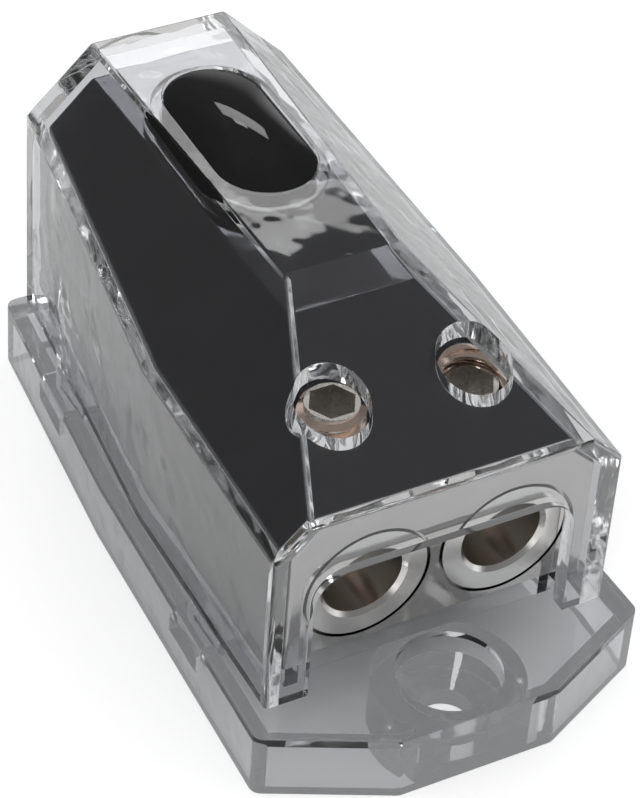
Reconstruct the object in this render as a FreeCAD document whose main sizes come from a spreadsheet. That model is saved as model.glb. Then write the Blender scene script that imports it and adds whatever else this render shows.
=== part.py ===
"""One-in, two-out power distribution block: a plated terminal block between a clear base and cover.

Millimetres. X is the width, Y the length with the two output ports at -Y, and Z points up.
The origin is the middle of the underside.
"""

import math
import os
import re

import FreeCAD, Part
import Sketcher

SIZES = {
    # base tray
    "base_length": 78.0,
    "base_height": 7.0,
    "base_wall": 1.8,
    "base_front_width": 39.6,
    "base_kink_width": 37.2,
    "base_rear_width": 32.2,
    "base_kink_place": 2.7,
    "base_corner_setback": 5.7,
    "base_corner_round": 1.2,
    "ear_width": 15.8,
    "ear_length": 8.0,
    "ear_chamfer": 2.5,
    "seat_height": 3.2,
    "seat_inset": 2.9,
    # fixing holes in the base
    "fixing_setback": 6.1,
    "fixing_hole": 5.0,
    "fixing_land": 2.0,
    "fixing_sink": 10.0,
    "fixing_sink_depth": 2.5,
    "fixing_boss": 14.4,
    # cover
    "cover_front_setback": 8.5,
    "cover_length": 61.3,
    "cover_front_width": 35.0,
    "cover_kink_width": 34.8,
    "cover_rear_width": 27.8,
    "cover_kink_setback": 26.7,
    "cover_top": 36.7,
    "cover_wall": 1.8,
    "cover_edge_round": 0.5,
    "cover_foot_gap": 0.1,
    "plateau_mid_width": 12.3,
    "plateau_taper": 0.031,
    "shoulder_slope": 0.983,
    "front_edge_height": 27.8,
    "front_slope": 0.4,
    "mouth_width": 26.4,
    "mouth_top": 21.2,
    "mouth_round": 3.5,
    "rear_mouth_width": 19.0,
    "rear_mouth_top": 27.5,
    "driver_hole": 7.0,
    # tongues that hold the cover on the base
    "tongue_width": 5.5,
    "tongue_thickness": 1.1,
    "tongue_depth": 4.0,
    "tongue_gap": 0.25,
    "front_tongue_setback": 13.0,
    "front_tongue_inset": 1.2,
    "rear_tongue_setback": 13.8,
    "rear_tongue_inset": 0.9,
    "window_foot": 3.2,
    "window_height": 2.0,
    # terminal block
    "block_gap": 0.3,
    "block_top_gap": 1.4,
    "block_edge_round": 0.5,
    "port_spacing": 14.2,
    "port_height": 17.3,
    "output_bore": 8.0,
    "output_depth": 21.0,
    "output_ring": 12.6,
    "input_height": 18.4,
    "input_bore": 11.2,
    "input_depth": 26.0,
    "input_ring": 16.0,
    "ring_groove": 0.35,
    "ring_groove_depth": 0.8,
    "bore_chamfer": 0.4,
    # set screws
    "output_thread_core": 5.2,
    "output_screw_setback": 10.2,
    "output_screw_length": 6.35,
    "output_screw_key": 4.0,
    "left_screw_stand": 2.1,
    "right_screw_sink": 0.6,
    "input_thread_core": 6.8,
    "input_screw_setback": 17.5,
    "input_screw_length": 7.5,
    "input_screw_key": 4.0,
    "input_screw_sink": 1.85,
    "screw_chamfer": 0.5,
    "screw_key_depth": 2.2,
    "thread_gap": 0.1,
    # screws that hold the block on the base
    "block_screw": 4.0,
    "block_screw_length": 7.5,
    "block_screw_head": 7.4,
    "block_screw_head_height": 2.4,
    "block_screw_key": 2.5,
    "block_screw_key_depth": 1.2,
    "block_screw_setback": 10.9,
    "block_screw_spacing": 13.5,
    # badge
    "badge_width": 9.8,
    "badge_length": 20.4,
    "badge_setback": 18.1,
    "badge_gap": 0.15,
    "badge_sink": 0.9,
    "badge_plate_thickness": 0.3,
    "badge_dome_height": 1.5,
    "badge_dome_round": 0.7,
    "badge_boss_wall": 1.0,
    "badge_boss_depth": 1.0,
    # how far a cut runs on past what it cuts
    "overrun": 3.0,
}

# formulas that several pieces share
FRONT_FACE = "(-base_length / 2 + cover_front_setback)"
REAR_FACE = f"({FRONT_FACE} + cover_length)"
COVER_FOOT = "(base_height + cover_foot_gap)"
BLOCK_INSET = "(cover_wall + block_gap)"
BLOCK_FOOT = "(base_height + seat_height)"
BLOCK_FRONT = f"({FRONT_FACE} + {BLOCK_INSET})"
BLOCK_REAR = f"({REAR_FACE} - {BLOCK_INSET})"
BLOCK_TOP = "(cover_top - cover_wall - block_top_gap)"
OUTPUT_SCREW_PLACE = f"({FRONT_FACE} + output_screw_setback)"
INPUT_SCREW_PLACE = f"({REAR_FACE} - input_screw_setback)"
FRONT_SLOPE_STEEPNESS = "sqrt(1 + front_slope ^ 2)"
SHOULDER_STEEPNESS = "sqrt(1 + shoulder_slope ^ 2)"
BLOCK_FACE_AT_SCREW = (
    f"(front_edge_height + front_slope * output_screw_setback - {BLOCK_INSET} * {FRONT_SLOPE_STEEPNESS})"
)
BADGE_FLOOR = "(cover_top - badge_sink)"
BADGE_PLACE = f"({REAR_FACE} - badge_setback)"
KINK_PLACE = f"({FRONT_FACE} + cover_kink_setback)"
REAR_NARROWING = f"((cover_kink_width - cover_rear_width) / 2 / ({REAR_FACE} - {KINK_PLACE}))"

# each pair of tongues, as its place along the length and its distance from the middle plane
TONGUES = {
    "front": (f"({FRONT_FACE} + front_tongue_setback)", "(cover_front_width / 2 - front_tongue_inset)"),
    "rear": (
        f"({REAR_FACE} - rear_tongue_setback)",
        f"(cover_rear_width / 2 + {REAR_NARROWING} * rear_tongue_setback - rear_tongue_inset)",
    ),
}

# places of the two screws that hold the block, along the length
BLOCK_SCREWS = {
    "front": f"({BLOCK_FRONT} + block_screw_setback)",
    "rear": f"({BLOCK_FRONT} + block_screw_setback + block_screw_spacing)",
}

doc = FreeCAD.newDocument("distribution_block")
sheet = doc.addObject("Spreadsheet::Sheet", "Sizes")
for row, (alias, size) in enumerate(SIZES.items(), start=1):
    sheet.set(f"A{row}", alias)
    sheet.set(f"B{row}", str(size))
    sheet.setAlias(f"B{row}", alias)
doc.recompute()


def bound(formula):
    """The formula with each size's name pointed at its cell in the sheet."""
    return re.sub(
        r"[a-z_]+", lambda word: f"Sizes.{word[0]}" if word[0] in SIZES else word[0], formula
    )


def value(formula):
    """What the formula comes to now."""
    return float(sheet.evalExpression(bound(formula)))


def new_body(label):
    """An empty body whose label names its file."""
    body = doc.addObject("PartDesign::Body", label)
    body.Label = label
    return body


def origin_plane(body, role):
    """One of the body's own origin planes."""
    return next(plane for plane in body.Origin.OriginFeatures if plane.Role == role)


def new_sketch(body, name, role, shift=("0", "0", "0")):
    """A sketch on an origin plane, moved along the plane's own axes by three formulas."""
    sketch = body.newObject("Sketcher::SketchObject", name)
    sketch.AttachmentSupport = [(origin_plane(body, role), "")]
    sketch.MapMode = "FlatFace"
    for axis, formula in zip("xyz", shift):
        sketch.setExpression(f"AttachmentOffset.Base.{axis}", bound(formula))
    return sketch


def add_outline(sketch, corners):
    """A closed outline of straight edges, each corner held by a pair of formulas."""
    first = sketch.GeometryCount
    count = len(corners)
    places = [FreeCAD.Vector(value(across), value(along), 0) for across, along in corners]
    for corner in range(count):
        sketch.addGeometry(Part.LineSegment(places[corner], places[(corner + 1) % count]))
    for corner, formulas in enumerate(corners):
        edge, following = first + corner, first + (corner + 1) % count
        sketch.addConstraint(Sketcher.Constraint("Coincident", edge, 2, following, 1))
        for direction, formula in zip(("DistanceX", "DistanceY"), formulas):
            held = Sketcher.Constraint(direction, -1, 1, edge, 1, value(formula))
            sketch.setExpression(f"Constraints[{sketch.addConstraint(held)}]", bound(formula))


def add_circle(sketch, diameter, across="0", along="0"):
    """A circle held by formulas for its diameter and centre."""
    centre = FreeCAD.Vector(value(across), value(along), 0)
    circle = sketch.addGeometry(Part.Circle(centre, FreeCAD.Vector(0, 0, 1), value(diameter) / 2))
    for kind, places, formula in (
        ("DistanceX", (-1, 1, circle, 3), across),
        ("DistanceY", (-1, 1, circle, 3), along),
        ("Diameter", (circle,), diameter),
    ):
        held = Sketcher.Constraint(kind, *places, value(formula))
        sketch.setExpression(f"Constraints[{sketch.addConstraint(held)}]", bound(formula))


def add_stadium(sketch, width, length, middle):
    """A long hole shape along the sketch's second axis: two straight sides and two round ends."""
    radius = value(width) / 2
    reach = value(length) / 2 - radius
    low, high = value(middle) - reach, value(middle) + reach
    up = FreeCAD.Vector(0, 0, 1)
    first = sketch.GeometryCount
    right, top, left, bottom = range(first, first + 4)
    upper_round = Part.Circle(FreeCAD.Vector(0, high, 0), up, radius)
    lower_round = Part.Circle(FreeCAD.Vector(0, low, 0), up, radius)
    sketch.addGeometry(Part.LineSegment(FreeCAD.Vector(radius, low, 0), FreeCAD.Vector(radius, high, 0)))
    sketch.addGeometry(Part.ArcOfCircle(upper_round, 0, math.pi))
    sketch.addGeometry(Part.LineSegment(FreeCAD.Vector(-radius, high, 0), FreeCAD.Vector(-radius, low, 0)))
    sketch.addGeometry(Part.ArcOfCircle(lower_round, math.pi, 2 * math.pi))
    for edge, following in ((right, top), (top, left), (left, bottom), (bottom, right)):
        sketch.addConstraint(Sketcher.Constraint("Tangent", edge, 2, following, 1))
    sketch.addConstraint(Sketcher.Constraint("PointOnObject", top, 3, -2))
    for kind, places, formula in (
        ("DistanceY", (-1, 1, top, 3), f"{middle} + ({length} - {width}) / 2"),
        ("DistanceY", (-1, 1, bottom, 3), f"{middle} - ({length} - {width}) / 2"),
        ("Radius", (top,), f"({width}) / 2"),
    ):
        held = Sketcher.Constraint(kind, *places, value(formula))
        sketch.setExpression(f"Constraints[{sketch.addConstraint(held)}]", bound(formula))


def pad(body, name, sketch, height):
    """Material from the sketch along its normal."""
    feature = body.newObject("PartDesign::Pad", name)
    feature.Profile = sketch
    feature.setExpression("Length", bound(height))
    doc.recompute()
    return feature


def pocket(body, name, sketch, depth, reverse=False, both_ways=False):
    """A cut from the sketch against its normal, or along it, or to both sides."""
    before = body.Shape.Volume
    feature = body.newObject("PartDesign::Pocket", name)
    feature.Profile = sketch
    feature.setExpression("Length", bound(depth))
    feature.Reversed = reverse
    feature.Midplane = both_ways
    doc.recompute()
    if body.Shape.Volume >= before:
        raise RuntimeError(f"{name} cuts nothing")
    return feature


def turned_cut(body, name, sketch):
    """A cut turned about the sketch's second axis."""
    before = body.Shape.Volume
    feature = body.newObject("PartDesign::Groove", name)
    feature.Profile = sketch
    feature.ReferenceAxis = (sketch, ["V_Axis"])
    feature.Angle = 360
    doc.recompute()
    if body.Shape.Volume >= before:
        raise RuntimeError(f"{name} cuts nothing")
    return feature


def mirror_across(body, name, feature):
    """The feature again on the other side of the middle plane."""
    mirrored = body.newObject("PartDesign::Mirrored", name)
    mirrored.Originals = [feature]
    mirrored.MirrorPlane = (origin_plane(body, "YZ_Plane"), [""])
    body.Tip = mirrored
    doc.recompute()
    return mirrored


def edges_where(shape, wanted):
    """Names of the edges for which wanted says yes."""
    return [f"Edge{number}" for number, edge in enumerate(shape.Edges, start=1) if wanted(edge)]


def round_edges(body, name, wanted, radius):
    """A fillet on the edges of the body that wanted picks."""
    solid = body.Tip
    feature = body.newObject("PartDesign::Fillet", name)
    feature.Base = (solid, edges_where(solid.Shape, wanted))
    feature.setExpression("Radius", bound(radius))
    doc.recompute()
    return feature


def both_sides(half):
    """The corners of one half outline and their mirror images, in order round the outline."""
    return half + [(f"-({across})", along) for across, along in reversed(half)]


def base_outline():
    """Plan of the base: a chamfered nose, kinked sides and a narrower ear at the rear."""
    rear = "(base_length / 2 - ear_length)"
    return both_sides(
        [
            ("ear_width / 2", "-base_length / 2"),
            ("base_front_width / 2", "-base_length / 2 + base_corner_setback"),
            ("base_kink_width / 2", "base_kink_place"),
            ("base_rear_width / 2", rear),
            ("ear_width / 2", rear),
            ("ear_width / 2", "base_length / 2 - ear_chamfer"),
            ("ear_width / 2 - ear_chamfer", "base_length / 2"),
        ]
    )


def cover_outline(inset):
    """Plan of the cover's outside, or of what lies inside it by inset."""
    return both_sides(
        [
            (f"cover_front_width / 2 - {inset}", f"{FRONT_FACE} + {inset}"),
            (f"cover_kink_width / 2 - {inset}", f"{FRONT_FACE} + cover_kink_setback"),
            (f"cover_rear_width / 2 - {inset}", f"{REAR_FACE} - {inset}"),
        ]
    )


def hipped_body(label, inset, foot, top):
    """The hood form: a prism over the kinked plan, cut by the front slope and the two shoulders."""
    body = new_body(label)
    plan = new_sketch(body, f"{label}_plan", "XY_Plane", ("0", "0", foot))
    add_outline(plan, cover_outline(inset))
    pad(body, f"{label}_prism", plan, f"{top} - {foot}")

    front_drop = f"{inset} * {FRONT_SLOPE_STEEPNESS}"
    slope_run = "cover_length / 2"
    slope = new_sketch(body, f"{label}_slope", "YZ_Plane")
    low = (f"{FRONT_FACE} - overrun", f"front_edge_height - front_slope * overrun - {front_drop}")
    high = (f"{FRONT_FACE} + {slope_run}", f"front_edge_height + front_slope * {slope_run} - {front_drop}")
    add_outline(slope, [low, high, (low[0], high[1])])
    pocket(body, f"{label}_slope_cut", slope, "2 * cover_front_width", both_ways=True)

    shoulder_drop = f"{inset} * {SHOULDER_STEEPNESS}"
    shoulder_run = "cover_front_width / 2"
    shoulder = new_sketch(body, f"{label}_shoulder", "XZ_Plane")
    shoulder.AttachmentOffset = FreeCAD.Placement(
        FreeCAD.Vector(), FreeCAD.Rotation(FreeCAD.Vector(0, -1, 0), 1)
    )
    shoulder.setExpression("AttachmentOffset.Rotation.Angle", bound("atan(plateau_taper)"))
    inner = ("plateau_mid_width / 2 - overrun", f"cover_top + shoulder_slope * overrun - {shoulder_drop}")
    outer = (
        f"plateau_mid_width / 2 + {shoulder_run}",
        f"cover_top - shoulder_slope * {shoulder_run} - {shoulder_drop}",
    )
    add_outline(shoulder, [inner, outer, (outer[0], inner[1])])
    cut = pocket(body, f"{label}_shoulder_cut", shoulder, "2 * cover_length", both_ways=True)
    mirror_across(body, f"{label}_shoulders", cut)
    return body


def make_base():
    """Clear tray: an open-bottomed shell with a raised seat, a sunk fixing hole at each end and slots."""
    body = new_body("base")
    plan = new_sketch(body, "base_plan", "XY_Plane")
    add_outline(plan, base_outline())
    solid = pad(body, "base_deck", plan, "base_height")
    heights = [face.CenterOfMass.z for face in solid.Shape.Faces]
    shell = body.newObject("PartDesign::Thickness", "base_shell")
    shell.Base = (solid, [f"Face{heights.index(min(heights)) + 1}"])
    shell.setExpression("Value", bound("base_wall"))
    shell.Reversed = True
    shell.Join = 1
    doc.recompute()
    inside_height = value("base_height - base_wall")

    def at_outer_corner(edge):
        return edge.BoundBox.ZLength > inside_height + value("base_wall") / 2

    round_edges(body, "base_corners", at_outer_corner, "base_corner_round")

    seat = new_sketch(body, "seat_plan", "XY_Plane", ("0", "0", "base_height"))
    add_outline(seat, cover_outline("seat_inset"))
    pad(body, "seat", seat, "seat_height")
    below_deck = "base_height - 2 * base_wall"
    under_seat = new_sketch(body, "under_seat_plan", "XY_Plane", ("0", "0", below_deck))
    add_outline(under_seat, cover_outline("(seat_inset + base_wall)"))
    pocket(body, "under_seat", under_seat, "seat_height + base_wall", reverse=True)

    fixing_place = "base_length / 2 - fixing_setback"
    bosses = new_sketch(body, "fixing_bosses", "XY_Plane")
    for sign in ("-", ""):
        add_circle(bosses, "fixing_boss", along=f"{sign}({fixing_place})")
    pad(body, "fixing_boss_pads", bosses, "base_height - base_wall / 2")
    outside = new_sketch(body, "outside_of_plan", "XY_Plane")
    far_corners = [("base_front_width", "-base_length"), ("base_front_width", "base_length")]
    add_outline(outside, both_sides(far_corners))
    add_outline(outside, base_outline())
    pocket(body, "boss_trim", outside, "base_height", reverse=True)

    for end, sign in (("front", "-"), ("rear", "")):
        place = (f"{sign}({fixing_place})", "0", "0")
        section = new_sketch(body, f"{end}_fixing_section", "YZ_Plane", place)
        add_outline(
            section,
            [
                ("0", "-overrun"),
                ("fixing_hole / 2", "-overrun"),
                ("fixing_hole / 2", "fixing_land"),
                ("fixing_sink / 2", "base_height - fixing_sink_depth"),
                ("fixing_sink / 2", "base_height + overrun"),
                ("0", "base_height + overrun"),
            ],
        )
        turned_cut(body, f"{end}_fixing_hole", section)

    slot_half = "(tongue_width / 2 + tongue_gap)"
    for end, (place, across) in TONGUES.items():
        slots = new_sketch(body, f"{end}_slots", "XY_Plane", ("0", "0", "base_height"))
        near = f"{across} - tongue_thickness / 2 - tongue_gap"
        far = f"{across} + tongue_thickness / 2 + tongue_gap"
        for sign in ("", "-"):
            add_outline(
                slots,
                [
                    (f"{sign}({near})", f"{place} - {slot_half}"),
                    (f"{sign}({far})", f"{place} - {slot_half}"),
                    (f"{sign}({far})", f"{place} + {slot_half}"),
                    (f"{sign}({near})", f"{place} + {slot_half}"),
                ],
            )
        pocket(body, f"{end}_slot_cut", slots, "base_wall + overrun")
        windows = new_sketch(body, f"{end}_windows", "YZ_Plane")
        add_outline(
            windows,
            [
                (f"{place} - {slot_half}", "window_foot"),
                (f"{place} + {slot_half}", "window_foot"),
                (f"{place} + {slot_half}", "window_foot + window_height"),
                (f"{place} - {slot_half}", "window_foot + window_height"),
            ],
        )
        pocket(body, f"{end}_window_cut", windows, "2 * base_front_width", both_ways=True)

    holes = new_sketch(body, "block_screw_holes", "XY_Plane", ("0", "0", BLOCK_FOOT))
    for along in BLOCK_SCREWS.values():
        add_circle(holes, "block_screw + 2 * thread_gap", along=along)
    pocket(body, "block_screw_hole_cut", holes, "base_wall + overrun")
    return body


def cut_mouth(body, end, width, top, reverse):
    """An arched cable mouth through one end wall of the cover."""
    face = FRONT_FACE if end == "front" else REAR_FACE
    arch = new_sketch(body, f"{end}_mouth", "XZ_Plane", ("0", "0", f"-{face}"))
    half = f"{width} / 2"
    add_outline(arch, both_sides([(half, f"{COVER_FOOT} - overrun"), (half, top)]))
    pocket(body, f"{end}_mouth_cut", arch, "2 * cover_wall", reverse=reverse)

    def at_arch_corner(edge):
        box = edge.BoundBox
        across = abs(abs(box.Center.x) - value(half))
        return across < 0.01 and abs(box.Center.z - value(top)) < 0.01 and box.YLength > value("cover_wall")

    round_edges(body, f"{end}_mouth_corners", at_arch_corner, "mouth_round")


def make_cover():
    """Clear hood with its arched mouths, driver holes, badge pocket and tongues."""
    outside = hipped_body("cover_outside", "0", COVER_FOOT, "cover_top")
    above_foot = value(COVER_FOOT) + value("cover_edge_round")
    round_edges(outside, "cover_edges", lambda edge: edge.BoundBox.ZMax > above_foot, "cover_edge_round")
    cut_mouth(outside, "front", "mouth_width", "mouth_top", False)
    cut_mouth(outside, "rear", "rear_mouth_width", "rear_mouth_top", True)

    drivers = new_sketch(outside, "driver_holes", "XY_Plane", ("0", "0", "cover_top"))
    for sign in ("", "-"):
        add_circle(drivers, "driver_hole", f"{sign}port_spacing / 2", OUTPUT_SCREW_PLACE)
    pocket(outside, "driver_hole_cut", drivers, "cover_top - port_height")
    badge = new_sketch(outside, "badge_pocket", "XY_Plane", ("0", "0", "cover_top"))
    add_stadium(badge, "(badge_width + 2 * badge_gap)", "(badge_length + 2 * badge_gap)", BADGE_PLACE)
    pocket(outside, "badge_pocket_cut", badge, "badge_sink")

    for end, (place, across) in TONGUES.items():
        tip = f"{COVER_FOOT} - tongue_depth"
        tongues = new_sketch(outside, f"{end}_tongues", "XY_Plane", ("0", "0", tip))
        for sign in ("", "-"):
            add_outline(
                tongues,
                [
                    (f"{sign}({across} - tongue_thickness / 2)", f"{place} - tongue_width / 2"),
                    (f"{sign}({across} + tongue_thickness / 2)", f"{place} - tongue_width / 2"),
                    (f"{sign}({across} + tongue_thickness / 2)", f"{place} + tongue_width / 2"),
                    (f"{sign}({across} - tongue_thickness / 2)", f"{place} + tongue_width / 2"),
                ],
            )
        pad(outside, f"{end}_tongue_pads", tongues, "tongue_depth")

    hollow = hipped_body("cover_hollow", "cover_wall", COVER_FOOT, "(cover_top - cover_wall)")
    boss = new_sketch(hollow, "badge_boss", "XY_Plane", ("0", "0", "cover_top - cover_wall"))
    boss_margin = "2 * (badge_gap + badge_boss_wall)"
    add_stadium(boss, f"(badge_width + {boss_margin})", f"(badge_length + {boss_margin})", BADGE_PLACE)
    pocket(hollow, "badge_boss_cut", boss, "badge_boss_depth")

    cover = doc.addObject("Part::Cut", "cover")
    cover.Label = "cover"
    cover.Base = outside
    cover.Tool = hollow
    return cover


def cut_port(body, name, mouth, bore, depth, ring):
    """A wire bore with a chamfered mouth and the thin groove that sets off its bright ring."""
    across, face, inward, height = mouth
    section = new_sketch(body, f"{name}_section", "XY_Plane", (across, "0", height))

    def inside(distance):
        return f"{face} {inward} ({distance})"

    add_outline(
        section,
        [
            ("0", inside("-overrun")),
            (f"{bore} / 2 + bore_chamfer + overrun", inside("-overrun")),
            (f"{bore} / 2", inside("bore_chamfer")),
            (f"{bore} / 2", inside(depth)),
            ("0", inside(depth)),
        ],
    )
    turned_cut(body, f"{name}_bore", section)
    groove = new_sketch(body, f"{name}_groove_section", "XY_Plane", (across, "0", height))
    add_outline(
        groove,
        [
            (f"{ring} / 2", inside("-overrun")),
            (f"{ring} / 2 + ring_groove", inside("-overrun")),
            (f"{ring} / 2 + ring_groove", inside("ring_groove_depth")),
            (f"{ring} / 2", inside("ring_groove_depth")),
        ],
    )
    turned_cut(body, f"{name}_groove", groove)


def cut_tapped_hole(body, name, foot, diameter):
    """A vertical hole for a set screw, from the wire bore's middle up through the block's top."""
    across, along, floor = foot
    section = new_sketch(body, f"{name}_tapped_section", "XZ_Plane", (across, "0", f"-{along}"))
    radius = f"{diameter} / 2"
    add_outline(section, [("0", floor), (radius, floor), (radius, "cover_top"), ("0", "cover_top")])
    turned_cut(body, f"{name}_tapped_hole", section)


def make_terminal_block():
    """One solid block: two output bores in front, one input bore behind, and a set screw hole for each."""
    body = hipped_body("terminal_block", BLOCK_INSET, BLOCK_FOOT, BLOCK_TOP)
    above_foot = value(BLOCK_FOOT) + value("block_edge_round")
    round_edges(body, "block_edges", lambda edge: edge.BoundBox.ZMax > above_foot, "block_edge_round")
    for side, across in (("left", "-port_spacing / 2"), ("right", "port_spacing / 2")):
        mouth = (across, BLOCK_FRONT, "+", "port_height")
        cut_port(body, f"{side}_output", mouth, "output_bore", "output_depth", "output_ring")
        cut_tapped_hole(body, side, (across, OUTPUT_SCREW_PLACE, "port_height"), "output_thread_core")
    mouth = ("0", BLOCK_REAR, "-", "input_height")
    cut_port(body, "input", mouth, "input_bore", "input_depth", "input_ring")
    cut_tapped_hole(body, "input", ("0", INPUT_SCREW_PLACE, "input_height"), "input_thread_core")
    holes = new_sketch(body, "block_tapped_holes", "XY_Plane", ("0", "0", BLOCK_FOOT))
    for along in BLOCK_SCREWS.values():
        add_circle(holes, "block_screw + 2 * thread_gap", along=along)
    pocket(body, "block_tapped_hole_cut", holes, "block_screw_length - base_wall / 2", reverse=True)
    return body


def place_body(body, across, along, height):
    """The body's own origin at a place given by three formulas."""
    for axis, formula in zip("xyz", (across, along, height)):
        body.setExpression(f"Placement.Base.{axis}", bound(formula))


def cut_hex(body, name, key, depth, height, reverse):
    """A socket for a hexagon key."""
    sketch = new_sketch(body, f"{name}_plan", "XY_Plane", ("0", "0", height))
    reach = f"{key} / sqrt(3)"
    turns = [60 * corner for corner in range(6)]
    add_outline(sketch, [(f"{reach} * cos({turn}deg)", f"{reach} * sin({turn}deg)") for turn in turns])
    pocket(body, name, sketch, depth, reverse=reverse)


def make_set_screw(label, place, diameter, length, key):
    """A socket set screw whose top is at its own origin."""
    body = new_body(label)
    section = new_sketch(body, f"{label}_section", "XZ_Plane")
    radius = f"({diameter} / 2 - thread_gap)"
    add_outline(
        section,
        [
            ("0", f"-{length}"),
            (f"{radius} - screw_chamfer", f"-{length}"),
            (radius, f"-{length} + screw_chamfer"),
            (radius, "0"),
            ("0", "0"),
        ],
    )
    turned = body.newObject("PartDesign::Revolution", f"{label}_shank")
    turned.Profile = section
    turned.ReferenceAxis = (section, ["V_Axis"])
    turned.Angle = 360
    doc.recompute()
    cut_hex(body, f"{label}_socket", key, "screw_key_depth", "0", False)
    place_body(body, *place)
    return body


def make_block_screw(label, along):
    """A pan-head screw, head down, with its head's seat at its own origin."""
    body = new_body(label)
    section = new_sketch(body, f"{label}_section", "XZ_Plane")
    add_outline(
        section,
        [
            ("0", "-block_screw_head_height"),
            ("block_screw_head / 2 - screw_chamfer", "-block_screw_head_height"),
            ("block_screw_head / 2", "-block_screw_head_height + screw_chamfer"),
            ("block_screw_head / 2", "0"),
            ("block_screw / 2", "0"),
            ("block_screw / 2", "block_screw_length"),
            ("0", "block_screw_length"),
        ],
    )
    turned = body.newObject("PartDesign::Revolution", f"{label}_shank")
    turned.Profile = section
    turned.ReferenceAxis = (section, ["V_Axis"])
    turned.Angle = 360
    doc.recompute()
    head_face = "-block_screw_head_height"
    cut_hex(body, f"{label}_socket", "block_screw_key", "block_screw_key_depth", head_face, True)
    place_body(body, "0", along, f"{BLOCK_FOOT} - base_wall")
    return body


def make_badge_plate():
    """Thin oval plate on the floor of the cover's pocket."""
    body = new_body("badge_plate")
    plan = new_sketch(body, "badge_plate_plan", "XY_Plane", ("0", "0", BADGE_FLOOR))
    add_stadium(plan, "badge_width", "badge_length", BADGE_PLACE)
    pad(body, "badge_plate_pad", plan, "badge_plate_thickness")
    return body


def make_badge_dome():
    """Clear domed resin over the plate."""
    body = new_body("badge_dome")
    foot = f"({BADGE_FLOOR} + badge_plate_thickness)"
    plan = new_sketch(body, "badge_dome_plan", "XY_Plane", ("0", "0", foot))
    add_stadium(plan, "badge_width", "badge_length", BADGE_PLACE)
    pad(body, "badge_dome_pad", plan, "badge_dome_height")
    top = value(foot) + value("badge_dome_height")
    round_edges(body, "badge_dome_edge", lambda edge: edge.BoundBox.ZMin > top - 0.01, "badge_dome_round")
    return body


def make_pieces():
    """Every piece of the object."""
    left_top = ("-port_spacing / 2", OUTPUT_SCREW_PLACE, f"{BLOCK_FACE_AT_SCREW} + left_screw_stand")
    right_top = ("port_spacing / 2", OUTPUT_SCREW_PLACE, f"{BLOCK_FACE_AT_SCREW} - right_screw_sink")
    input_top = ("0", INPUT_SCREW_PLACE, f"{BLOCK_TOP} - input_screw_sink")
    output_sizes = ("output_thread_core", "output_screw_length", "output_screw_key")
    input_sizes = ("input_thread_core", "input_screw_length", "input_screw_key")
    return [
        make_base(),
        make_cover(),
        make_terminal_block(),
        make_set_screw("output_set_screw_left", left_top, *output_sizes),
        make_set_screw("output_set_screw_right", right_top, *output_sizes),
        make_set_screw("input_set_screw", input_top, *input_sizes),
        make_block_screw("block_screw_front", BLOCK_SCREWS["front"]),
        make_block_screw("block_screw_rear", BLOCK_SCREWS["rear"]),
        make_badge_plate(),
        make_badge_dome(),
    ]


def check_and_write(pieces):
    """Stop on any failed object or bad shape, then write one STEP file for each piece."""
    doc.recompute()
    for thing in doc.Objects:
        if {"Invalid", "Error"} & set(thing.State):
            raise RuntimeError(f"{thing.Label} failed to build")
    for piece in pieces:
        if piece.Shape.isNull() or not piece.Shape.isValid():
            raise RuntimeError(f"{piece.Label} has a bad shape")
    os.makedirs("parts", exist_ok=True)
    for piece in pieces:
        piece.Shape.exportStep(os.path.join("parts", f"{piece.Label}.step"))


check_and_write(make_pieces())
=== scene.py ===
import math
from collections import namedtuple
from contextlib import contextmanager

import bmesh
import bpy
from mathutils import Matrix, Vector


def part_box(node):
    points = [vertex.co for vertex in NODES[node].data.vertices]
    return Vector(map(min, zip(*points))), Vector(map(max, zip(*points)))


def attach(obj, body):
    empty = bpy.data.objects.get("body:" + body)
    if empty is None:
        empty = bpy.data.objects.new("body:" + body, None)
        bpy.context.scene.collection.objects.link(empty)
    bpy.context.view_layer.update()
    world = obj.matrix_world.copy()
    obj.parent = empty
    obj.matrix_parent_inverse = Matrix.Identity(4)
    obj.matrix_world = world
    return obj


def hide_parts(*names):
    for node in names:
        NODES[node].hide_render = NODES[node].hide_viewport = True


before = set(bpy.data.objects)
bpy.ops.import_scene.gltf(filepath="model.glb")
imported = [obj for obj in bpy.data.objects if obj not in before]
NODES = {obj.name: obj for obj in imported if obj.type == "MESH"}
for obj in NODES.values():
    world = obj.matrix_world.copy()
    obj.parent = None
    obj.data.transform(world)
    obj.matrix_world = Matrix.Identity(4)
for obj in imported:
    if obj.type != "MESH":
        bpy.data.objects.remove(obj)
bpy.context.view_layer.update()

MM = 0.001

# camera, worked out from the photograph's perspective
CAMERA_PLACE = Vector((-0.11486, -0.20243, 0.21649))
CAMERA_RIGHT = Vector((0.88633, -0.45935, 0.05838))
CAMERA_DOWN = Vector((-0.26399, -0.60486, -0.75130))
CAMERA_LENS = 145.66
SENSOR_WIDTH = 36.0

# lamps: where each one is, the point that it faces, its width, its depth and its brightness
LAMPS = {
    "back_softbox": ((0.300, 0.542, 0.452), (0, 0, 0.03), 0.22, 0.09, 3.0),
    "strip_softbox": ((0.2631, 0.5270, 0.4975), (-0.0369, -0.0150, 0.0755), 0.07, 0.026, 4.0),
    "front_softbox": ((-0.45, -0.40, 0.55), (0, 0, 0.02), 0.16, 0.16, 7.5),
}

# surroundings: their brightness as mirrors and clear pieces show it, the heights between which it changes
# (0 is level and 1 straight up), and the plain light that falls on the rest
NEAR_HORIZON = 1.0
ABOVE_HORIZON = 0.15
HORIZON_FADE = (0.12, 0.32)
OVERHEAD_RISE = 0.08
OVERHEAD_FADE = (0.5, 0.95)
PLAIN_LIGHT = 0.9
FLOOR_GREY = 0.74
FLOOR_GLOW = 0.4
FLOOR_REACH = 3.0

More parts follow.
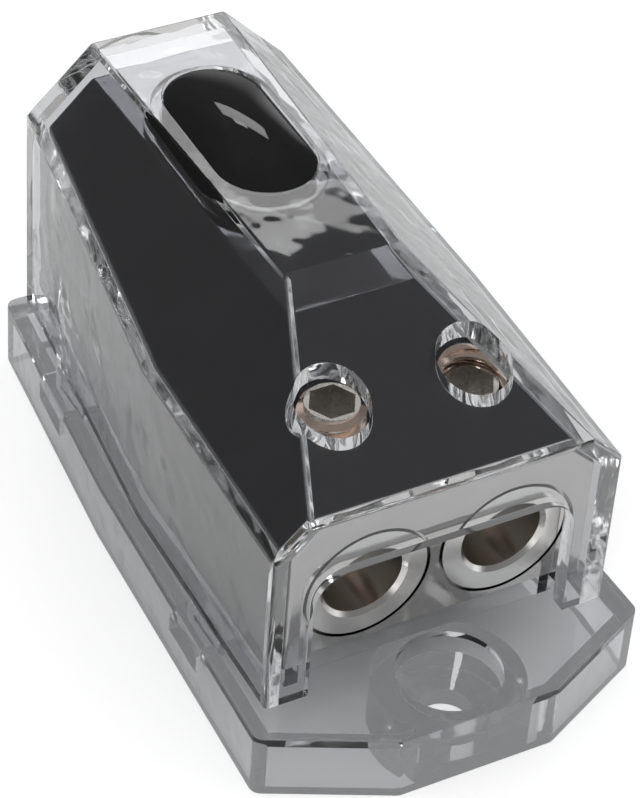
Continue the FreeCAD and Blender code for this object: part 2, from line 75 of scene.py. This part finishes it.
# wire ports: the end of the block that each opens to (-1 for the front), the height of its axis, the radius
# of its turned ring, and the core radius and pitch of the threaded hole that its set screw runs in
Port = namedtuple("Port", "end height ring_radius core_radius pitch")
OUTPUT_PORT = Port(end=-1, height=17.3 * MM, ring_radius=6.3 * MM, core_radius=2.6 * MM, pitch=1.27 * MM)
INPUT_PORT = Port(end=1, height=18.4 * MM, ring_radius=8.0 * MM, core_radius=3.4 * MM, pitch=1.25 * MM)
SET_SCREWS = {
    "output_set_screw_left": ("left_screw", OUTPUT_PORT),
    "output_set_screw_right": ("right_screw", OUTPUT_PORT),
    "input_set_screw": ("input_screw", INPUT_PORT),
}
BLOCK_SCREWS = ("block_screw_front", "block_screw_rear")

# threads: their depth, the widths of root and crest as shares of the pitch, how far a cutter starts inside
# the hole, and the height above which the holes are brassy
THREAD_DEPTH = 0.62 * MM
ROOT_SHARE = 0.86
CREST_SHARE = 0.12
CUTTER_OVERLAP = 0.15 * MM
BRASS_FOOT = 21.0 * MM

# ridges of the set screws: how full they are beside the cut thread, how far they sink into the core, and
# their distance from the screw's two ends
RIDGE_FULLNESS = 0.8
RIDGE_SINK = 0.1 * MM
RIDGE_FOOT_ROOM = 0.8 * MM
RIDGE_TOP_ROOM = 0.55 * MM

# soft edges of the mouldings, the badge dome's sink into its plate, and its low wall's share of its height
BASE_SOFTNESS = 0.5 * MM
COVER_SOFTNESS = 0.3 * MM
BADGE_SINK = 0.02 * MM
BADGE_WALL_SHARE = 0.22

# smallest turns that count as a crease, between two CAD faces and between any two facets, and the largest
# turn at which two facets are joined into one
CREASE_BETWEEN_FACES = math.radians(6)
CREASE_ANYWHERE = math.radians(38)
FLAT_ENOUGH = math.radians(0.5)


class Nodes:
    """A node tree, and short calls that add nodes to it."""

    def __init__(self, tree):
        self.tree = tree

    def add(self, kind, inputs=None, **settings):
        """One node with its settings, and each named input linked to a socket or set to a value."""
        node = self.tree.nodes.new(kind)
        for name, value in settings.items():
            setattr(node, name, value)
        for key, value in (inputs or {}).items():
            if isinstance(value, bpy.types.NodeSocket):
                self.tree.links.new(value, node.inputs[key])
            else:
                node.inputs[key].default_value = value
        return node

    def math(self, operation, first, second=0.0, **settings):
        """The result of one sum or comparison."""
        return self.add("ShaderNodeMath", {0: first, 1: second}, operation=operation, **settings).outputs[0]

    def parts(self, vector):
        """The X, Y and Z of a vector, by name."""
        return self.add("ShaderNodeSeparateXYZ", {0: vector}).outputs

    def ranged(self, source, low, high, to_low, to_high, **settings):
        """The source's stretch from low to high, moved to another stretch and held inside it."""
        ends = {"Value": source, "From Min": low, "From Max": high, "To Min": to_low, "To Max": to_high}
        return self.add("ShaderNodeMapRange", ends, **settings).outputs["Result"]

    def mix(self, factor, low, high):
        """A colour between two others."""
        return self.add("ShaderNodeMix", {0: factor, 6: low, 7: high}, data_type="RGBA").outputs[2]

    def mix_values(self, factor, low, high):
        """A value between two others."""
        return self.add("ShaderNodeMix", {0: factor, 2: low, 3: high}, data_type="FLOAT").outputs[0]


class Shade(Nodes):
    """A node material with one Principled shader."""

    def __init__(self, name, **values):
        self.material = bpy.data.materials.new(name)
        self.material.use_nodes = True
        super().__init__(self.material.node_tree)
        self.shader = self.tree.nodes["Principled BSDF"]
        self.output = self.tree.nodes["Material Output"]
        for socket, value in values.items():
            self.shader.inputs[socket.replace("_", " ")].default_value = value

    def link(self, source, socket):
        """The source drives one of the shader's sockets."""
        self.tree.links.new(source, self.shader.inputs[socket])

    def place(self):
        """Coordinates fixed to the object, in metres."""
        return self.add("ShaderNodeTexCoord").outputs["Object"]

    def facing(self):
        """The direction that the surface faces on the object."""
        return self.parts(self.add("ShaderNodeTexCoord").outputs["Normal"])

    def noise(self, scale, detail=2.0, roughness=0.5):
        """Cloudy noise in object space, with its scale per metre."""
        settings = {"Vector": self.place(), "Scale": scale, "Detail": detail, "Roughness": roughness}
        return self.add("ShaderNodeTexNoise", settings).outputs["Fac"]

    def bump(self, height, distance):
        """Fine relief of the given depth in metres."""
        relief = self.add("ShaderNodeBump", {"Height": height, "Distance": distance})
        self.link(relief.outputs["Normal"], "Normal")

    def near_axis(self, centre, axis, radius, soft=0.03 * MM):
        """1 inside a round rod along one axis, and 0 outside it."""
        flat = Vector((1, 1, 1)) - Vector(axis)
        away = self.add("ShaderNodeVectorMath", {0: self.place(), 1: centre}, operation="SUBTRACT").outputs[0]
        away = self.add("ShaderNodeVectorMath", {0: away, 1: flat}, operation="MULTIPLY").outputs[0]
        reach = self.add("ShaderNodeVectorMath", {0: away}, operation="LENGTH").outputs["Value"]
        return self.ranged(reach, radius - soft, radius + soft, 1.0, 0.0)

    def let_lamps_through(self, tint):
        """Lamps shine through the piece, so that it shades what lies inside and under it only a little."""
        rays = self.add("ShaderNodeLightPath").outputs["Is Shadow Ray"]
        through = self.add("ShaderNodeBsdfTransparent", {"Color": tint}).outputs[0]
        mixed = self.add("ShaderNodeMixShader", {0: rays, 1: self.shader.outputs[0], 2: through})
        self.tree.links.new(mixed.outputs[0], self.output.inputs["Surface"])


def clear_plastic():
    """Moulded clear plastic: slightly grey, faintly wavy, and open to lamplight."""
    shade = Shade("clear_plastic", Base_Color=(0.925, 0.935, 0.95, 1), Transmission_Weight=1.0, IOR=1.56)
    smears = shade.noise(90.0, 3.0, 0.6)
    shade.link(shade.ranged(smears, 0.35, 0.75, 0.015, 0.07), "Roughness")
    waves = shade.noise(140.0, 2.0, 0.4)
    shade.bump(waves, 0.16 * MM)
    shade.let_lamps_through((0.97, 0.975, 0.98, 1))
    return shade.material


def clear_resin():
    """The badge's poured dome."""
    shade = Shade("clear_resin", Base_Color=(0.98, 0.98, 0.98, 1), Transmission_Weight=1.0, IOR=1.5)
    waves = shade.noise(60.0, 2.0)
    shade.link(shade.ranged(waves, 0.4, 0.8, 0.0, 0.02), "Roughness")
    shade.let_lamps_through((0.97, 0.97, 0.97, 1))
    return shade.material


def screw_axis(node):
    """The foot of a set screw's axis, on the surface that the object stands on."""
    low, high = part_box(node)
    return Vector(((low.x + high.x) / 2, (low.y + high.y) / 2, 0))


def ring_mask(shade):
    """1 on the turned rings, each at its own end of the block."""
    along = shade.parts(shade.place())["Y"]
    mask = 0.0
    for node, (_, port) in SET_SCREWS.items():
        centre = screw_axis(node) + Vector((0, 0, port.height))
        ring = shade.near_axis(centre, (0, 1, 0), port.ring_radius)
        own_end = shade.math("GREATER_THAN", shade.math("MULTIPLY", along, port.end))
        mask = shade.math("MAXIMUM", mask, shade.math("MULTIPLY", ring, own_end))
    return mask


def thread_mask(shade):
    """1 in the threaded holes, above the wire ports."""
    height = shade.parts(shade.place())["Z"]
    mask = 0.0
    for node, (_, port) in SET_SCREWS.items():
        hole = shade.near_axis(screw_axis(node), (0, 0, 1), port.core_radius + THREAD_DEPTH)
        mask = shade.math("MAXIMUM", mask, hole)
    return shade.math("MULTIPLY", mask, shade.math("GREATER_THAN", height, BRASS_FOOT))


def plated_metal():
    """Mirror plating painted in two tones by the way each face turns: dark on the top, slanted and upright
    faces as painted shade, and lighter on the end faces as painted light. It has brighter rings and brassy
    threads.
    """
    shade = Shade("plated_metal", Metallic=1.0)
    facing = shade.facing()
    # painted shade: the top, slanted and upright faces get a dark tone, nearly the same on each
    slanted = shade.ranged(shade.math("ABSOLUTE", facing["Z"]), 0.12, 0.5, 0.0, 1.0)
    colour = shade.mix(slanted, (0.09, 0.087, 0.084, 1), (0.088, 0.087, 0.094, 1))
    # painted light: the front and rear end faces get a lighter tone than the rest of the same plating
    end = shade.ranged(shade.math("ABSOLUTE", facing["Y"]), 0.7, 0.9, 0.0, 1.0)
    colour = shade.mix(end, colour, (0.62, 0.605, 0.59, 1))
    ring = ring_mask(shade)
    colour = shade.mix(ring, colour, (0.84, 0.825, 0.805, 1))
    colour = shade.mix(thread_mask(shade), colour, (0.78, 0.64, 0.55, 1))
    shade.link(colour, "Base Color")

    haze = shade.noise(160.0, 4.0, 0.6)
    smooth = shade.ranged(haze, 0.35, 0.75, 0.07, 0.16)
    turned = shade.ranged(haze, 0.3, 0.8, 0.16, 0.3)
    shade.link(shade.mix_values(ring, smooth, turned), "Roughness")
    ripple = shade.noise(45.0, 1.0, 0.3)
    shade.bump(ripple, 0.04 * MM)
    return shade.material


def screw_steel():
    """Plated steel with a fine grain."""
    shade = Shade("screw_steel", Metallic=1.0)
    grain = shade.noise(1500.0, 4.0, 0.7)
    shade.link(shade.mix(grain, (0.46, 0.44, 0.41, 1), (0.64, 0.61, 0.57, 1)), "Base Color")
    shade.link(shade.ranged(grain, 0.3, 0.8, 0.22, 0.36), "Roughness")
    shade.bump(grain, 0.006 * MM)
    return shade.material


def thread_brass():
    """The brassy flanks of the screws' threads."""
    shade = Shade("thread_brass", Metallic=1.0)
    grain = shade.noise(1200.0, 3.0, 0.6)
    shade.link(shade.mix(grain, (0.72, 0.55, 0.46, 1), (0.86, 0.70, 0.60, 1)), "Base Color")
    shade.link(shade.ranged(grain, 0.3, 0.8, 0.16, 0.32), "Roughness")
    return shade.material


def badge_black():
    """Jet black print with a trace of grain, on a white carrier that shows only underneath."""
    shade = Shade("badge_black", Specular_IOR_Level=0.1)
    grain = shade.noise(300.0, 2.0)
    printed = shade.mix(grain, (0.001, 0.001, 0.0015, 1), (0.003, 0.003, 0.0035, 1))
    underneath = shade.math("LESS_THAN", shade.facing()["Z"], -0.5)
    shade.link(shade.mix(underneath, printed, (0.85, 0.85, 0.84, 1)), "Base Color")
    shade.link(shade.ranged(grain, 0.3, 0.8, 0.2, 0.4), "Roughness")
    return shade.material


def paint(thing, material):
    """The material on every face of a mesh."""
    thing.data.materials.clear()
    thing.data.materials.append(material)


def add_object(name, data):
    """A new object in the scene that holds a mesh, a lamp or a camera."""
    thing = bpy.data.objects.new(name, data)
    bpy.context.scene.collection.objects.link(thing)
    return thing


def ring_stack(name, places):
    """A closed piece through rings of corners, each ring joined to the next and both ends capped."""
    made = bmesh.new()
    rings = [[made.verts.new(place) for place in ring] for ring in places]
    for lower, upper in zip(rings, rings[1:]):
        for corner in range(len(lower)):
            beside = (corner + 1) % len(lower)
            made.faces.new((lower[corner], lower[beside], upper[beside], upper[corner]))
    made.faces.new(rings[0])
    made.faces.new(reversed(rings[-1]))
    bmesh.ops.recalc_face_normals(made, faces=made.faces)
    mesh = bpy.data.meshes.new(name)
    made.to_mesh(mesh)
    made.free()
    return add_object(name, mesh)


def helix_band(name, axis, inner, outer, pitch, foot, top, fullness=1.0):
    """A closed spiral band of tapered section, as a screw's ridge or as a cutter for an inside thread."""
    steps_a_turn = 40
    wide, narrow = ROOT_SHARE * pitch * fullness, CREST_SHARE * pitch * fullness
    section = ((inner, -wide / 2), (outer, -narrow / 2), (outer, narrow / 2), (inner, wide / 2))
    rings = []
    for step in range(round((top - foot) / pitch * steps_a_turn) + 1):
        turn = 2 * math.pi * step / steps_a_turn
        middle = foot + pitch * step / steps_a_turn
        across, along = math.cos(turn), math.sin(turn)
        rings.append([(axis.x + reach * across, axis.y + reach * along, middle + rise)
                      for reach, rise in section])
    return ring_stack(name, rings)


@contextmanager
def editing(mesh):
    """The mesh in a form that can be edited, written back at the end."""
    made = bmesh.new()
    made.from_mesh(mesh)
    yield made
    made.to_mesh(mesh)
    made.free()


def welded_copy(node, name):
    """A copy of a CAD node's mesh with its corners joined and its creases kept, as a new piece."""
    mesh = NODES[node].data.copy()
    mesh.name = name
    mesh.attributes.remove(mesh.attributes["custom_normal"])
    with editing(mesh) as made:
        for edge in made.edges:
            edge.smooth = not edge.is_boundary
        bmesh.ops.remove_doubles(made, verts=made.verts, dist=0.001 * MM)
        for edge in made.edges:
            edge.smooth = edge.smooth or edge.calc_face_angle(0.0) < CREASE_BETWEEN_FACES
    return add_object(name, mesh)


def settle(piece):
    """The piece with its modifiers' result as its own mesh."""
    graph = bpy.context.evaluated_depsgraph_get()
    mesh = bpy.data.meshes.new_from_object(piece.evaluated_get(graph))
    piece.modifiers.clear()
    piece.data = mesh


def soften(piece, width):
    """Rounds the piece's sharp edges a little, as a mould leaves them."""
    with editing(piece.data) as made:
        bmesh.ops.dissolve_limit(made, angle_limit=FLAT_ENOUGH, verts=made.verts, edges=made.edges)
        for edge in made.edges:
            edge.smooth = True
    soft = piece.modifiers.new("soft_edges", "BEVEL")
    soft.width = width
    soft.segments = 3
    soft.limit_method = "ANGLE"
    soft.angle_limit = CREASE_ANYWHERE
    settle(piece)


def cut_away(piece, cutters):
    """The piece with each cutter's form taken out of it."""
    for cutter in cutters:
        cut = piece.modifiers.new("cut", "BOOLEAN")
        cut.operation = "DIFFERENCE"
        cut.solver = "EXACT"
        cut.object = cutter
    settle(piece)
    for cutter in cutters:
        bpy.data.objects.remove(cutter)


def crisp(piece):
    """Smooth shading that keeps creases and leaves flat faces flat."""
    with editing(piece.data) as made:
        for face in made.faces:
            face.smooth = True
        for edge in made.edges:
            edge.smooth = edge.smooth and edge.calc_face_angle(0.0) < CREASE_ANYWHERE
    shading = piece.modifiers.new("shading", "WEIGHTED_NORMAL")
    shading.weight = 100
    shading.keep_sharp = True


def put_in_place(piece, material, body, node=None):
    """Shades and paints a new piece, which rides on its body and may stand in for a CAD node."""
    crisp(piece)
    paint(piece, material)
    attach(piece, body)
    if node:
        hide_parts(node)


def threaded_block(material):
    """The terminal block with its three screw threads cut in, each from its port up through the top."""
    piece = welded_copy("terminal_block", "threaded_terminal_block")
    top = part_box("terminal_block")[1].z
    cutters = []
    for node, (body, port) in SET_SCREWS.items():
        inner, outer = port.core_radius - CUTTER_OVERLAP, port.core_radius + THREAD_DEPTH
        ends = port.height, top + port.pitch
        cutters.append(helix_band(f"{body}_cutter", screw_axis(node), inner, outer, port.pitch, *ends))
    cut_away(piece, cutters)
    put_in_place(piece, material, "body", "terminal_block")


def screw_ridges(material):
    """The set screws' outside threads, in step with the threads in the block."""
    for node, (body, port) in SET_SCREWS.items():
        low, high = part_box(node)
        core = (high.x - low.x) / 2
        turns_up = math.ceil((low.z + RIDGE_FOOT_ROOM - port.height) / port.pitch)
        ends = port.height + port.pitch * turns_up, high.z - RIDGE_TOP_ROOM
        inner, outer = core - RIDGE_SINK, core + THREAD_DEPTH
        axis = screw_axis(node)
        ridge = helix_band(f"{body}_thread", axis, inner, outer, port.pitch, *ends, RIDGE_FULLNESS)
        put_in_place(ridge, material, body)


def soft_moulding(node, body, width, material):
    """The base or the cover with the soft edges of a moulding."""
    piece = welded_copy(node, f"soft_{node}")
    soften(piece, width)
    put_in_place(piece, material, body, node)


def badge_outline(half, length, share):
    """The outline of the badge at a share of its size, nearer to an ellipse the smaller it is."""
    points = []
    count = 96
    for step in range(count):
        turn = 2 * math.pi * step / count
        along = length * math.sin(turn)
        past = max(0.0, abs(along) - (length - half))
        ellipse = half * abs(math.cos(turn))
        across = ellipse + (math.sqrt(half ** 2 - past ** 2) - ellipse) * share ** 2
        points.append((math.copysign(share * across, math.cos(turn)), share * along))
    return points


def crowned_badge(material):
    """The badge's poured dome: a low wall, then a crown that rises to the middle."""
    low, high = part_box("badge_dome")
    middle = (low + high) / 2
    reach = (high - low) / 2
    wall = low.z + BADGE_WALL_SHARE * (high.z - low.z)
    levels = [(1.0, low.z - BADGE_SINK)]
    crown_rings = 18
    for ring in range(crown_rings):
        share = 1 - ring / crown_rings
        levels.append((share, wall + (high.z - wall) * (1 - share ** 2)))
    rings = []
    for share, height in levels:
        outline = badge_outline(reach.x, reach.y, share)
        rings.append([(middle.x + x, middle.y + y, height) for x, y in outline])
    piece = ring_stack("crowned_badge_dome", rings)
    put_in_place(piece, material, "cover", "badge_dome")


def make_floor():
    """A plain pale floor that keeps the object's shadow and is white to the camera elsewhere."""
    grey = (FLOOR_GREY, FLOOR_GREY, FLOOR_GREY, 1)
    shade = Shade("floor", Base_Color=grey, Roughness=0.9, Specular_IOR_Level=0.1)
    shade.shader.inputs["Emission Color"].default_value = (1, 1, 1, 1)
    seen = shade.add("ShaderNodeLightPath").outputs["Is Camera Ray"]
    shade.link(shade.math("MULTIPLY", seen, FLOOR_GLOW), "Emission Strength")
    mesh = bpy.data.meshes.new("floor")
    corners = [(x * FLOOR_REACH, y * FLOOR_REACH, 0) for x, y in ((-1, -1), (1, -1), (1, 1), (-1, 1))]
    mesh.from_pydata(corners, [], [(0, 1, 2, 3)])
    floor = add_object("floor", mesh)
    paint(floor, shade.material)


def make_lamp(name, place, target, width, depth, brightness):
    """A soft rectangular lamp that faces the target, given by the brightness of its surface."""
    light = bpy.data.lights.new(name, "AREA")
    light.shape = "RECTANGLE"
    light.size = width
    light.size_y = depth
    light.energy = brightness * math.pi * width * depth
    lamp = add_object(name, light)
    lamp.location = place
    lamp.rotation_euler = (Vector(target) - Vector(place)).to_track_quat("-Z", "Y").to_euler()


def make_world():
    """Pale to just above the horizon and dark overhead for what is seen, and plain light for the rest."""
    world = bpy.data.worlds.new("studio")
    bpy.context.scene.world = world
    world.use_nodes = True
    nodes = Nodes(world.node_tree)
    height = nodes.parts(nodes.add("ShaderNodeTexCoord").outputs["Generated"])["Z"]
    gently = {"interpolation_type": "SMOOTHSTEP"}
    horizon = nodes.ranged(height, *HORIZON_FADE, NEAR_HORIZON, ABOVE_HORIZON, **gently)
    overhead = nodes.ranged(height, *OVERHEAD_FADE, 0.0, OVERHEAD_RISE, **gently)
    sky = nodes.math("ADD", horizon, overhead)
    rays = nodes.add("ShaderNodeLightPath").outputs
    seen = nodes.math("ADD", rays["Is Camera Ray"], rays["Is Glossy Ray"])
    seen = nodes.math("ADD", seen, rays["Is Transmission Ray"], use_clamp=True)
    direct = nodes.math("LESS_THAN", rays["Diffuse Depth"], 0.5)
    strength = nodes.mix_values(nodes.math("MULTIPLY", seen, direct), PLAIN_LIGHT, sky)
    background = nodes.tree.nodes["Background"]
    background.inputs["Color"].default_value = (1, 1, 1, 1)
    nodes.tree.links.new(strength, background.inputs["Strength"])


def make_camera():
    """The photograph's view."""
    data = bpy.data.cameras.new("camera")
    data.lens = CAMERA_LENS
    data.sensor_width = SENSOR_WIDTH
    data.sensor_fit = "AUTO"
    data.clip_start = 0.01
    camera = add_object("camera", data)
    right = CAMERA_RIGHT.normalized()
    up = -CAMERA_DOWN.normalized()
    turn = Matrix((right, up, right.cross(up))).transposed()
    camera.matrix_world = Matrix.Translation(CAMERA_PLACE) @ turn.to_4x4()
    bpy.context.scene.camera = camera


def set_view_and_bounces():
    """The plain view transform, and enough bounces for light that is held inside the clear walls."""
    scene = bpy.context.scene
    scene.view_settings.view_transform = "Standard"
    scene.cycles.max_bounces = 36
    scene.cycles.transmission_bounces = 28
    scene.cycles.glossy_bounces = 28


def dress():
    """A material on every node, and the pieces that stand in for nodes."""
    clear = clear_plastic()
    metal = plated_metal()
    steel = screw_steel()
    resin = clear_resin()
    for node in ("base", "cover"):
        paint(NODES[node], clear)
    for node in (*SET_SCREWS, *BLOCK_SCREWS):
        paint(NODES[node], steel)
    paint(NODES["terminal_block"], metal)
    paint(NODES["badge_plate"], badge_black())
    paint(NODES["badge_dome"], resin)
    threaded_block(metal)
    screw_ridges(thread_brass())
    soft_moulding("base", "body", BASE_SOFTNESS, clear)
    soft_moulding("cover", "cover", COVER_SOFTNESS, clear)
    crowned_badge(resin)


make_camera()
make_world()
make_floor()
for lamp_name, lamp_values in LAMPS.items():
    make_lamp(lamp_name, *lamp_values)
dress()
set_view_and_bounces()
